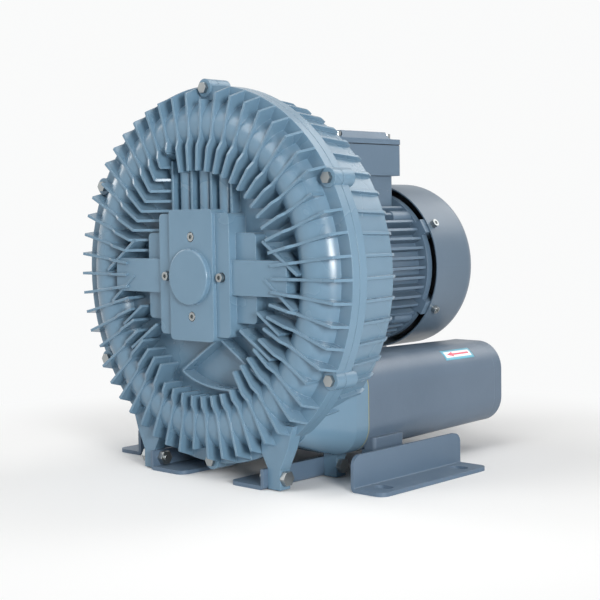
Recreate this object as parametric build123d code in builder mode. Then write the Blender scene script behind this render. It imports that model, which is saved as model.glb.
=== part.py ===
from build123d import *
import os
from math import atan2, cos, degrees, hypot, pi, radians, sin, sqrt

# Side channel blower, millimetres. +Z up, the pump cover faces -Y and the motor points to +Y.
# The origin lies on the floor, in the middle of the four slots of the two rear feet.
# A "station" is a distance along the shaft, measured back from the joint face of the pump.

# ---------------------------------------------------------------- fits and clearances
running_clearance = 0.03
slide_clearance = 0.02
thread_clearance = 0.05
bolt_clearance = 0.5
seal_gap = 0.3
rotor_air_gap = 0.5

# ---------------------------------------------------------------- placing
shaft_height = 203.0
rear_foot_station = 109.0
joint_y = -rear_foot_station

# ---------------------------------------------------------------- side channel and casing
channel_pitch_radius = 149.0
channel_radius = 20.0
casing_wall = 6.0
joint_flange_radius = 187.0
cover_flange = 9.5
housing_flange = 10.0
cover_gasket_thickness = 0.5
stripper_angle = 40.0
cover_disc = 8.0
chamber_radius = 170.0
fin_count = 54
fin_thickness = 2.8
fin_stand_off = 1.0
fin_tip_radius = 180.0
fin_root_radius = 104.0
hub_fin_root_radius = 118.0
recess_half_angle = 27.0
inner_fin_step = 3.5
fold_first, fold_last = 16, 25
fold_line_distance, fold_line_angle = 100.7, 144.8
fold_end_face = 12.0
fin_step_radius, fin_step_run = 128.0, 8.0
lug_fin_radius = 173.0
lug_count = 6
lug_circle_radius = 185.0
lug_radius = 9.0
cover_screw_size = 6.0
cover_screw_length = 25.0
cover_lug_height = 2.0
housing_lug_depth = 16.0

# ---------------------------------------------------------------- cover hub
slab_c_width, slab_c_low, slab_c_high, slab_c_face = 154.0, -44.0, 43.0, 22.0
slab_b_width, slab_b_low, slab_b_high, slab_b_face = 100.0, -58.0, 62.0, 31.0
slab_a_width, slab_a_low, slab_a_high, slab_a_face = 62.0, -63.0, 66.0, 35.0
slab_corner = 5.0
boss_radius = 27.5
boss_face = 40.0
boss_edge = 1.5
arm_reach, arm_low, arm_high, arm_face = 122.0, -17.0, 17.0, 28.0
hub_screw_circle = 39.0
hub_screw_size = 5.0
hub_screw_seat = -30.0
hub_screw_length = 24.0
retainer_radius = 46.0
retainer_thickness = 10.5
top_rib_face = 19.0
top_rib_reach = 112.0
top_rib_places = (-42.0, -14.0, 14.0, 42.0)
column_radius = 8.0
slant_ribs = (((92, 35), (136, 4)), ((94, -1), (130, -29)), ((83, -32), (112, -52)), ((60, -50), (100, -76)))
slant_rib_face = 29.0

# ---------------------------------------------------------------- bearings (25 x 52 x 15)
bearing_bore = 12.5
bearing_outer = 26.0
bearing_width = 15.0
ball_radius = 3.97
ball_count = 9
ball_pitch_radius = 19.25
ball_gap = 0.05
inner_land_radius = 16.9
outer_land_radius = 21.6
cage_inner, cage_outer, cage_width = 17.5, 21.0, 10.0
front_bearing_station = -30.0
wave_washer_thickness = 1.5
seal_width = 7.0
front_seal_radius, rear_seal_radius = 21.0, 26.0
rear_seal_station = 31.0

# ---------------------------------------------------------------- shaft
seal_journal_radius = 15.0
shoulder_radius = 19.0
rotor_seat_radius = 18.0
fan_seat_radius = 11.0
impeller_back_station = 29.0
shoulder_end_station = 48.0
rotor_start_station = 96.0
rotor_length = 110.0
rear_bearing_station = 232.0
fan_hub_end_station = 284.0
shaft_end_station = 289.0
key_width, key_height, key_length = 8.0, 7.0, 22.0
key_depth, key_station = 4.0, 3.0
shaft_chamfer = 1.0
ring_thickness, ring_height, ring_depth = 1.5, 3.5, 1.1
impeller_front_station = -0.4
ring_gap = 0.2

# ---------------------------------------------------------------- impeller
impeller_width = 28.0
impeller_radius = 169.0
impeller_gap = 0.5
impeller_hub_gap = 1.0
pocket_inner_radius, pocket_outer_radius, pocket_depth = 130.0, 166.0, 12.5
blade_count = 44
blade_thickness = 2.5
impeller_hub_radius = 30.0
impeller_disc_thickness = 8.0
rim_inner_radius = 124.0

# ---------------------------------------------------------------- pump housing
housing_wall_back = 40.0
barrel_front_radius, barrel_back_radius = 179.0, 172.0
barrel_back_station = 66.0
barrel_rib_front_radius, barrel_rib_radius = 183.0, 177.5
skirt_inner_radius = 167.0
rear_fin_station = 60.0
motor_ring_outer, motor_ring_inner = 90.0, 66.0
port_face_station = 80.0
duct_start_station, duct_full_station = 6.0, 62.0
duct_start_x, duct_start_drop, duct_start_half, duct_start_corner = 74.0, 120.0, 42.0, 26.0

# ---------------------------------------------------------------- silencers
silencer_x = 80.0
silencer_drop = 131.0
silencer_half = 48.0
silencer_corner = 30.0
silencer_rear_half = 45.0
silencer_wall = 5.0
silencer_length = 221.0
silencer_front_wall = 6.0
silencer_lug_outer_x = 131.0
silencer_lug_height = 13.0
port_gasket = 1.2
duct_radius = 24.0
tube_inner, tube_wall = 26.0, 1.5
foam_radius = 36.5
tie_rod_size = 8.0
tie_rod_offset = 29.0
tie_rod_grip = 12.0
port_plate = 13.5
port_thread_radius = 28.3
port_thread_depth = 24.0
port_spigot_radius = 35.0
port_spigot_depth = 17.0
tube_grip = 6.0

# ---------------------------------------------------------------- motor
frame_station = 66.0
frame_end_station = 236.0
frame_bore_radius = 65.0
frame_wall = 7.0
frame_fin_count = 48
frame_fin_radius = 83.0
frame_fin_thickness = 3.0
frame_fin_start = 88.0
frame_flange = 10.0
frame_fin_end = 234.0
pad_half_angle = 30.0
pad_sink = 10.0
motor_bolt_circle = 81.0
motor_bolt_size = 8.0
motor_bolt_grip = 14.0
stator_inner_radius = 37.0
stator_slot_count, stator_slot_depth, stator_slot_width = 24, 16.0, 5.0
winding_overhang, winding_round = 20.0, 6.0
winding_inner_radius, winding_outer_radius = 39.0, 58.0
winding_bar_radius, winding_bar = 40.5, 12.0
end_ring_length, end_ring_inner = 8.0, 24.0
shield_plate = 8.0
shield_radius = 84.0
shield_spigot = 6.0
shield_bolt_circle = 76.0
shield_bolt_size = 6.0
shield_bolt_grip = 14.0
shield_boss_radius, shield_boss_length = 8.0, 30.0
cowl_screw_angles = (30, 150, 210, 330)
cowl_screw_station = 252.0
cowl_screw_size, cowl_screw_length = 5.0, 12.0
cowl_lug_inner, cowl_lug_width, cowl_lug_length = 70.0, 16.0, 24.0
cowl_lug_gap = 0.6
cowl_radius = 92.0
cowl_sheet = 1.5
cowl_front_station = 243.0
cowl_back_station = 318.0
cowl_corner = 18.0
fan_radius = 82.0
fan_gap = 2.0
fan_disc = 3.0
fan_blade_count = 8
fan_blade_depth = 28.0
fan_hub_radius = 20.0
grille_inner, grille_pitch, grille_slot, grille_rings = 24.0, 9.0, 5.0, 5
grille_spokes, grille_spoke = 6, 6.0

# ---------------------------------------------------------------- terminal box
box_station, box_length, box_width = 183.0, 106.0, 100.0
box_floor, box_top, box_lid_top = 100.0, 133.0, 147.5
box_wall = 4.0
box_neck_width, box_neck_length = 86.0, 94.0
frame_pad_top = 84.0
box_corner = 6.0
lid_gasket = 0.8
lid_rim, lid_ledge, lid_slope, lid_corner = 5.6, 7.0, 26.0, 8.0
lid_hollow_margin = 15.0
lid_screw_size, lid_screw_grip, lid_screw_seat = 5.0, 12.0, 7.0
lid_screw_x, lid_screw_y, lid_post_radius = 38.0, 41.0, 9.0
box_screw_size, box_screw_grip = 5.0, 12.0
box_screw_inset = 10.0
lead_opening = 40.0
board_length, board_width, board_height = 60.0, 34.0, 9.0
stud_radius, stud_pitch, stud_depth, stud_height = 2.5, 17.0, 6.0, 8.0
gland_radius = 12.5
gland_bore = 8.0
gland_stations = (163.0, 203.0)
gland_height = 116.5
gland_hex, gland_flange, gland_thread, gland_dome = 30.0, 6.0, 11.0, 6.0

# ---------------------------------------------------------------- feet
foot_sheet = 4.0
foot_bend = 5.0
front_foot_inner, front_foot_outer = 34.0, 82.0
front_foot_start, front_foot_end = -22.0, 95.0
front_foot_web = 20.0
front_foot_bolt_height = 12.0
front_foot_bolt_stations = (-9.0, 72.0)
front_slot_x, front_slot_station = 56.0, 36.0
rear_foot_web_x = 156.0
rear_foot_edge_x = 191.0
rear_foot_length = 170.0
rear_foot_web = 35.0
rear_foot_corner = 10.0
rear_tab_inner_x, rear_tab_top = 114.0, 28.0
rear_tab_length = 46.0
rear_bolt_x, rear_bolt_spacing, rear_bolt_grip = 124.0, 26.0, 9.0
slot_spacing = 120.0
slot_x = 172.0
slot_width, slot_length = 12.0, 20.0
foot_bolt_size = 8.0
leg_thickness = 14.0
leg_outer_x = 98.0
leg_lift = 1.0
cover_leg_top, housing_leg_top = 64.0, 48.0

# ---------------------------------------------------------------- worked out
bearing_seat_radius = bearing_outer + slide_clearance
cover_face = -cover_gasket_thickness
cover_front = cover_face - cover_flange
shell_radius = channel_radius + casing_wall
cover_crest = cover_face - shell_radius
chamber_back = impeller_width + impeller_gap
housing_crest = chamber_back + shell_radius
silencer_station = port_face_station + port_gasket
silencer_end = silencer_station + silencer_length
port_back = silencer_end + port_plate
rotor_end_station = rotor_start_station + rotor_length
shield_back = frame_end_station + shield_plate
retainer_station = front_bearing_station + bearing_width
front_seal_station = retainer_station + retainer_thickness - seal_width
impeller_ring_station = impeller_front_station - ring_thickness - slide_clearance
port_spigot_station = silencer_end - port_spigot_depth
tube_end_station = port_spigot_station + tube_grip
foot_bolt_grip = leg_outer_x - front_foot_outer + foot_sheet
rear_bolt_stations = [rear_foot_station + step * rear_bolt_spacing / 2 for step in (-1, 1)]
frame_fin_middle = (frame_fin_radius + frame_bore_radius + frame_wall) / 2 - 1
cowl_lug_outer = cowl_radius - cowl_sheet - cowl_lug_gap
fan_station = frame_end_station + cowl_lug_length + fan_gap
fan_hub_station = rear_bearing_station + bearing_width + slide_clearance
fan_ring_station = fan_hub_end_station + ring_gap
box_screw_x, box_screw_y = lid_screw_x - box_screw_inset, lid_screw_y - box_screw_inset
shaft_axis = Axis((0, joint_y, shaft_height), (0, 1, 0))
sides = {"right": 1, "left": -1}

hex_across_flats = {5.0: 8.0, 6.0: 10.0, 8.0: 13.0}
hex_head_height = {5.0: 3.5, 6.0: 4.0, 8.0: 5.3}
nut_height = {8.0: 6.8}


# ---------------------------------------------------------------- helpers
def across(station):
    """Plane square to the shaft at a station, facing the cover side, X right and Z up."""
    return Plane(
        origin=(0, joint_y + station, shaft_height), x_dir=(1, 0, 0), z_dir=(0, -1, 0)
    )


def radial(angle):
    """Plane through the shaft axis: x runs along the shaft, y out at this angle from +X."""
    turn_angle = radians(angle)
    return Plane(
        origin=(0, joint_y, shaft_height),
        x_dir=(0, 1, 0),
        z_dir=(sin(turn_angle), 0, -cos(turn_angle)),
    )


def level(height):
    """Horizontal plane at a height above the floor, with its origin over the joint face."""
    return Plane(origin=(0, joint_y, height), x_dir=(1, 0, 0), z_dir=(0, 0, 1))


def polar(radius, angle):
    """Point in an across() plane."""
    return radius * cos(radians(angle)), radius * sin(radians(angle))


def facing_back(station):
    """Plane square to the shaft at a station, facing away from the cover; its x runs to -X."""
    return Plane(
        origin=(0, joint_y + station, shaft_height), x_dir=(-1, 0, 0), z_dir=(0, 1, 0)
    )


def spot(plane, x, y):
    """The same plane with its origin moved to a point of it."""
    return Plane(
        origin=plane.from_local_coords(Vector(x, y, 0)), x_dir=plane.x_dir, z_dir=plane.z_dir
    )


def foot_bolt_seat(side, station):
    """Plane on the outer face of a leg where a foot bolt's head sits."""
    return Plane(
        origin=(side * leg_outer_x, joint_y + station, front_foot_bolt_height),
        x_dir=(0, 1, 0),
        z_dir=(side, 0, 0),
    )


def gland_seat(station):
    """Plane on the left wall of the terminal box, facing out."""
    return Plane(
        origin=(-box_width / 2, joint_y + station, shaft_height + gland_height),
        x_dir=(0, 1, 0),
        z_dir=(-1, 0, 0),
    )


def cowl_screw_seat(angle, radius):
    """Plane square to a radius of the fan cowl at the station of its screws, facing out."""
    out = Vector(cos(radians(angle)), 0, sin(radians(angle)))
    middle = Vector(0, joint_y + cowl_screw_station, shaft_height)
    return Plane(origin=middle + out * radius, x_dir=(0, 1, 0), z_dir=out)


def leg_outline(side, top):
    """Outline of a casting leg in an across() plane, from its top down to the foot's web."""
    heights = (
        (front_foot_outer - 8, top),
        (leg_outer_x + 18, top),
        (leg_outer_x + 10, 2 * front_foot_web),
        (leg_outer_x, front_foot_web),
        (leg_outer_x, leg_lift),
        (front_foot_outer, leg_lift),
        (front_foot_outer, front_foot_web + leg_lift),
        (front_foot_outer - 8, front_foot_web + 15),
    )
    return [(side * x, height - shaft_height) for x, height in heights]


def turned(start, length, outer, inner=0.0, mode=Mode.ADD):
    """Ring or disc on the shaft axis, in the builder that calls it."""
    with BuildSketch(across(start)) as section:
        Circle(outer)
        if inner:
            Circle(inner, mode=Mode.SUBTRACT)
    extrude(section.sketch, amount=-length, mode=mode)


def drilled(start, length, radius, places):
    """Holes parallel to the shaft at places in an across() plane."""
    with BuildSketch(across(start)) as holes:
        with Locations(*places):
            Circle(radius)
    extrude(holes.sketch, amount=-length, mode=Mode.SUBTRACT)


def ring_groove(station, seat_radius):
    """Groove for a retaining ring, cut in the shaft that calls it."""
    turned(
        station - slide_clearance,
        ring_thickness + 2 * slide_clearance,
        seat_radius + 1,
        seat_radius - ring_depth,
        mode=Mode.SUBTRACT,
    )


def tapered_box(start, end, centre, front_half, rear_half, corner, mode=Mode.ADD):
    """Round cornered square bar along the shaft that narrows towards its back end."""
    with BuildSketch(across(start)) as front:
        with Locations(centre):
            RectangleRounded(2 * front_half, 2 * front_half, corner)
    with BuildSketch(across(end)) as back:
        with Locations(centre):
            RectangleRounded(2 * rear_half, 2 * rear_half, corner)
    loft([front.sketch, back.sketch], mode=mode)


def hex_screw(seat, size, shank):
    """Hexagon head screw: the head stands on the seat plane and the shank goes below it."""
    with BuildSketch(seat) as head:
        RegularPolygon(hex_across_flats[size] / 2, 6, major_radius=False)
    extrude(head.sketch, amount=hex_head_height[size])
    with BuildSketch(seat) as rod:
        Circle(size / 2)
    extrude(rod.sketch, amount=-shank)


def cap_screw(seat, size, shank):
    """Socket head cap screw: round head on the seat plane with a hexagon socket."""
    with BuildSketch(seat) as rod:
        Circle(size / 2)
    extrude(rod.sketch, amount=-shank)
    with BuildSketch(seat) as head:
        Circle(0.85 * size)
    extrude(head.sketch, amount=size)
    with BuildSketch(seat.offset(size)) as socket:
        RegularPolygon(0.4 * size, 6, major_radius=False)
    extrude(socket.sketch, amount=-size / 2, mode=Mode.SUBTRACT)


def hex_nut(seat, size):
    """Hexagon nut standing on the seat plane, bored to clear its screw."""
    with BuildSketch(seat) as nut:
        RegularPolygon(hex_across_flats[size] / 2, 6, major_radius=False)
        Circle(size / 2 + thread_clearance, mode=Mode.SUBTRACT)
    extrude(nut.sketch, amount=nut_height[size])


def save(piece, name):
    """Label a finished piece and write its STEP file."""
    piece.part.label = name
    export_step(piece.part, f"parts/{name}.step")


os.makedirs("parts", exist_ok=True)

# ---------------------------------------------------------------- front cover
fin_pitch = 360 / fin_count
fin_face = cover_crest - fin_stand_off
fin_inner_face = fin_face - inner_fin_step
hub_base = 2 - cover_disc
fin_foot_radius = joint_flange_radius - 0.5
lug_angles = [30 + 60 * index for index in range(lug_count)]
lug_places = [polar(lug_circle_radius, angle) for angle in lug_angles]
hub_screw_places = [polar(hub_screw_circle, angle) for angle in (0, 90, 180, 270)]
cover_lug_face = cover_front - cover_lug_height
channel_start = -90 - stripper_angle / 2
channel_sweep = 360 - stripper_angle


def shell_reach(offset):
    """Half width of the channel shell at an axial offset from its centre."""
    return sqrt(shell_radius**2 - offset**2)


def fold_radius(angle):
    """Radius at which a fin at this angle meets the line where the fins fold level."""
    return fold_line_distance / cos(radians(angle - fold_line_angle))


with BuildPart() as front_cover:
    with BuildSketch(radial(90)):
        with BuildLine():
            inner_meet = channel_pitch_radius - shell_reach(cover_disc + cover_face)
            outer_meet = channel_pitch_radius + shell_reach(cover_flange)
            Polyline((cover_face, 0), (-cover_disc, 0), (-cover_disc, inner_meet))
            ThreePointArc(
                (-cover_disc, inner_meet),
                (cover_crest, channel_pitch_radius),
                (cover_front, outer_meet),
            )
            Polyline(
                (cover_front, outer_meet),
                (cover_front, joint_flange_radius),
                (cover_face, joint_flange_radius),
                (cover_face, 0),
            )
        make_face()
    revolve(axis=shaft_axis)
    # cooling fins; those behind a screw lug stop short of it, those over the stripper start further out
    for index in range(fin_count):
        fin_angle = index * fin_pitch
        to_lug = abs((fin_angle - 30 + 30) % 60 - 30)
        to_stripper = abs((fin_angle + 90 + 180) % 360 - 180)
        tip = lug_fin_radius if to_lug < fin_pitch / 2 else fin_tip_radius
        foot = lug_fin_radius if to_lug < fin_pitch / 2 else fin_foot_radius
        root = hub_fin_root_radius if to_stripper < recess_half_angle else fin_root_radius
        if fold_first <= index <= fold_last:
            root = fold_radius(fin_angle)
        step_radius = max(fin_step_radius, root + fin_thickness)
        with BuildSketch(radial(fin_angle)):
            with BuildLine():
                Polyline(
                    (hub_base, root),
                    (fin_inner_face, root),
                    (fin_inner_face, step_radius),
                    (fin_face, step_radius + fin_step_run),
                    (fin_face, tip),
                    (cover_front, foot),
                    (hub_base, foot),
                    close=True,
                )
            make_face()
    extrude(amount=fin_thickness / 2, both=True)
    # the fins over the left of the hub fold level and run on to its ribs and slabs
    for index in range(fold_first, fold_last + 1):
        fold_x, fold_z = polar(fold_radius(index * fin_pitch), index * fin_pitch)
        if fold_z > slab_b_high:
            level_end = top_rib_places[0]
        elif fold_z > slab_c_high:
            level_end = -slab_b_width / 2
        else:
            level_end = -slab_c_width / 2
        with BuildSketch(level(shaft_height + fold_z)):
            with BuildLine():
                Polyline((fold_x, hub_base), (fold_x, fin_inner_face), (level_end, -fold_end_face),
                         (level_end, hub_base), close=True)
            make_face()
        extrude(amount=fin_thickness / 2, both=True)
    # stepped hub slabs and the two arms that run out to the channel
    for width, low, high, face in (
        (slab_c_width, slab_c_low, slab_c_high, slab_c_face),
        (slab_b_width, slab_b_low, slab_b_high, slab_b_face),
        (slab_a_width, slab_a_low, slab_a_high, slab_a_face),
        (2 * arm_reach, arm_low, arm_high, arm_face),
    ):
        with BuildSketch(across(hub_base)):
            with Locations((0, (low + high) / 2)):
                RectangleRounded(width, high - low, slab_corner)
        extrude(amount=face + hub_base)
    # upright ribs and half round columns between the hub and the top of the channel
    with BuildSketch(across(hub_base)):
        for place in top_rib_places:
            with Locations((place, (slab_b_high + top_rib_reach) / 2)):
                Rectangle(fin_thickness, top_rib_reach - slab_b_high + slab_corner)
    extrude(amount=top_rib_face + hub_base)
    column_length = top_rib_reach - slab_a_high + slab_corner
    with BuildSketch(level(shaft_height + slab_a_high - slab_corner)):
        for near, far in zip(top_rib_places, top_rib_places[1:]):
            with Locations(((near + far) / 2, -column_radius - 2)):
                Circle(column_radius)
    extrude(amount=column_length)
    # slanting ribs from the hub corners to the channel
    for side in sides.values():
        for start, end in slant_ribs:
            middle = ((start[0] + end[0]) / 2 * side, (start[1] + end[1]) / 2)
            run, rise = (end[0] - start[0]) * side, end[1] - start[1]
            with BuildSketch(across(hub_base)):
                with Locations(Location((*middle, 0), (0, 0, degrees(atan2(rise, run))))):
                    Rectangle(hypot(run, rise), fin_thickness)
            extrude(amount=slant_rib_face + hub_base)
    # centre boss
    with BuildSketch(across(hub_base)):
        Circle(boss_radius)
    extrude(amount=boss_face + hub_base)
    fillet(front_cover.edges().filter_by(GeomType.CIRCLE).sort_by(Axis.Y)[0], boss_edge)
    # screw lugs
    with BuildSketch(across(cover_lug_face)):
        with Locations(*lug_places):
            Circle(lug_radius)
    extrude(amount=-(cover_face - cover_lug_face))
    # legs down to the front feet
    for side in sides.values():
        with BuildSketch(across(front_foot_bolt_stations[0] - leg_thickness / 2)):
            with BuildLine():
                Polyline(*leg_outline(side, cover_leg_top), close=True)
            make_face()
    extrude(amount=-leg_thickness)
    # side channel, open in the joint face and closed over the stripper
    with BuildSketch(radial(channel_start)):
        with Locations((cover_face, channel_pitch_radius)):
            Circle(channel_radius)
    revolve(axis=shaft_axis, revolution_arc=channel_sweep, mode=Mode.SUBTRACT)
    # bearing seat, retainer recess and screw holes
    turned(retainer_station, cover_face - retainer_station, retainer_radius + seal_gap, mode=Mode.SUBTRACT)
    turned(
        front_bearing_station - wave_washer_thickness,
        bearing_width + wave_washer_thickness,
        bearing_seat_radius,
        mode=Mode.SUBTRACT,
    )
    drilled(hub_screw_seat, retainer_station - hub_screw_seat, hub_screw_size / 2 + bolt_clearance / 2,
            hub_screw_places)
    drilled(-boss_face, boss_face + hub_screw_seat, hub_screw_size, hub_screw_places)
    drilled(cover_lug_face, joint_flange_radius, cover_screw_size / 2 + bolt_clearance, lug_places)
    for side in sides.values():
        with BuildSketch(foot_bolt_seat(side, front_foot_bolt_stations[0])):
            Circle(foot_bolt_size / 2 + bolt_clearance)
        extrude(amount=-foot_bolt_grip, mode=Mode.SUBTRACT)
save(front_cover, "front_cover")


with BuildPart() as cover_gasket:
    turned(cover_face, cover_gasket_thickness, joint_flange_radius - 1, chamber_radius)
    drilled(cover_face, cover_gasket_thickness, cover_screw_size / 2 + bolt_clearance, lug_places)
save(cover_gasket, "cover_gasket")

with BuildPart() as cover_screws:
    for x, z in lug_places:
        hex_screw(spot(across(cover_lug_face), x, z), cover_screw_size, cover_screw_length)
save(cover_screws, "cover_screws")

# ---------------------------------------------------------------- bearing retainer and its screws
with BuildPart() as bearing_retainer:
    turned(retainer_station, retainer_thickness, retainer_radius, seal_journal_radius + 2)
    turned(front_seal_station, seal_width, front_seal_radius + slide_clearance, mode=Mode.SUBTRACT)
    drilled(
        retainer_station,
        retainer_thickness - 1.5,
        hub_screw_size / 2 + thread_clearance,
        hub_screw_places,
    )
save(bearing_retainer, "bearing_retainer")

with BuildPart() as hub_screws:
    for x, z in hub_screw_places:
        cap_screw(spot(across(hub_screw_seat), x, z), hub_screw_size, hub_screw_length)
save(hub_screws, "hub_screws")

with BuildPart() as wave_washer:
    turned(front_bearing_station - wave_washer_thickness, wave_washer_thickness,
           bearing_outer - 0.5, ball_pitch_radius + 1)
save(wave_washer, "wave_washer")

with BuildPart() as front_shaft_seal:
    turned(front_seal_station, seal_width, front_seal_radius, seal_journal_radius + running_clearance)
save(front_shaft_seal, "front_shaft_seal")

# ---------------------------------------------------------------- ball bearings
for end, station in (("front", front_bearing_station), ("rear", rear_bearing_station)):
    middle = station + bearing_width / 2

    with BuildPart() as bearing_outer_ring:
        turned(station, bearing_width, bearing_outer, outer_land_radius)
        with BuildSketch(radial(90)):
            with Locations((middle, ball_pitch_radius)):
                Circle(ball_radius + ball_gap)
        revolve(axis=shaft_axis, mode=Mode.SUBTRACT)
    save(bearing_outer_ring, f"{end}_bearing_outer_ring")

    with BuildPart() as bearing_inner_ring:
        turned(station, bearing_width, inner_land_radius, bearing_bore + slide_clearance)
        with BuildSketch(radial(90)):
            with Locations((middle, ball_pitch_radius)):
                Circle(ball_radius + ball_gap)
        revolve(axis=shaft_axis, mode=Mode.SUBTRACT)
    save(bearing_inner_ring, f"{end}_bearing_inner_ring")

    with BuildPart() as bearing_balls:
        with Locations(across(middle)):
            with PolarLocations(ball_pitch_radius, ball_count):
                Sphere(ball_radius)
    save(bearing_balls, f"{end}_bearing_balls")

    with BuildPart() as bearing_cage:
        turned(middle - cage_width / 2, cage_width, cage_outer, cage_inner)
        with Locations(across(middle)):
            with PolarLocations(ball_pitch_radius, ball_count):
                Cylinder(
                    ball_radius + 3 * ball_gap,
                    2 * (cage_outer - cage_inner),
                    rotation=(0, 90, 0),
                    mode=Mode.SUBTRACT,
                )
    save(bearing_cage, f"{end}_bearing_cage")

# ---------------------------------------------------------------- shaft
with BuildPart() as shaft:
    with BuildSketch(radial(90)):
        with BuildLine():
            Polyline(
                (front_bearing_station, 0),
                (front_bearing_station, bearing_bore - shaft_chamfer),
                (front_bearing_station + shaft_chamfer, bearing_bore),
                (retainer_station, bearing_bore),
                (retainer_station, seal_journal_radius),
                (impeller_back_station, seal_journal_radius),
                (impeller_back_station, shoulder_radius),
                (shoulder_end_station, shoulder_radius),
                (shoulder_end_station, rotor_seat_radius),
                (rotor_end_station, rotor_seat_radius),
                (rotor_end_station, seal_journal_radius),
                (rear_bearing_station, seal_journal_radius),
                (rear_bearing_station, bearing_bore),
                (rear_bearing_station + bearing_width, bearing_bore),
                (rear_bearing_station + bearing_width, fan_seat_radius),
                (shaft_end_station - shaft_chamfer, fan_seat_radius),
                (shaft_end_station, fan_seat_radius - shaft_chamfer),
                (shaft_end_station, 0),
                close=True,
            )
        make_face()
    revolve(axis=shaft_axis)
    # keyway and the grooves of the two retaining rings
    with BuildSketch(level(shaft_height + seal_journal_radius + 1)):
        with Locations((0, key_station + key_length / 2)):
            Rectangle(key_width + 2 * slide_clearance, key_length + 2 * slide_clearance)
    extrude(amount=-(key_depth + 1), mode=Mode.SUBTRACT)
    ring_groove(impeller_ring_station, seal_journal_radius)
    ring_groove(fan_ring_station, fan_seat_radius)
save(shaft, "shaft")

with BuildPart() as impeller_key:
    with BuildSketch(level(shaft_height + seal_journal_radius - key_depth)):
        with Locations((0, key_station + key_length / 2)):
            Rectangle(key_width, key_length)
    extrude(amount=key_height)
save(impeller_key, "impeller_key")

for name, station, seat_radius in (
    ("impeller_retaining_ring", impeller_ring_station, seal_journal_radius),
    ("fan_retaining_ring", fan_ring_station, fan_seat_radius),
):
    with BuildPart() as retaining_ring:
        turned(station, ring_thickness, seat_radius + ring_height, seat_radius - ring_depth + slide_clearance)
    save(retaining_ring, name)

# ---------------------------------------------------------------- impeller
with BuildPart() as impeller:
    with BuildSketch(radial(90)):
        with BuildLine():
            Polyline((0, pocket_inner_radius), (0, rim_inner_radius), (impeller_width, rim_inner_radius),
                     (impeller_width, pocket_inner_radius))
            ThreePointArc(
                (impeller_width, pocket_inner_radius),
                (impeller_width - pocket_depth, (pocket_inner_radius + pocket_outer_radius) / 2),
                (impeller_width, pocket_outer_radius),
            )
            Polyline((impeller_width, pocket_outer_radius), (impeller_width, impeller_radius),
                     (0, impeller_radius), (0, pocket_outer_radius))
            ThreePointArc(
                (0, pocket_outer_radius),
                (pocket_depth, (pocket_inner_radius + pocket_outer_radius) / 2),
                (0, pocket_inner_radius),
            )
        make_face()
    revolve(axis=shaft_axis)
    disc_station = (impeller_width - impeller_disc_thickness) / 2
    turned(disc_station, impeller_disc_thickness, rim_inner_radius + 1, impeller_hub_radius - 1)
    turned(impeller_front_station, impeller_back_station - impeller_front_station, impeller_hub_radius,
           seal_journal_radius + slide_clearance)
    with BuildSketch(across(0)):
        with PolarLocations((pocket_inner_radius + pocket_outer_radius) / 2, blade_count):
            Rectangle(pocket_outer_radius - pocket_inner_radius + 3, blade_thickness)
    extrude(amount=-impeller_width)
    with BuildSketch(across(impeller_front_station)):
        with Locations((0, seal_journal_radius)):
            Rectangle(key_width + 2 * slide_clearance, 2 * (key_height - key_depth + slide_clearance))
    extrude(amount=-(impeller_back_station - impeller_front_station), mode=Mode.SUBTRACT)
save(impeller, "impeller")

# ---------------------------------------------------------------- pump housing
rod_places = [(across_x, across_z) for across_x in (-tie_rod_offset, tie_rod_offset)
              for across_z in (-tie_rod_offset, tie_rod_offset)]
motor_bolt_places = [polar(motor_bolt_circle, angle) for angle in (45, 135, 225, 315)]

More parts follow.
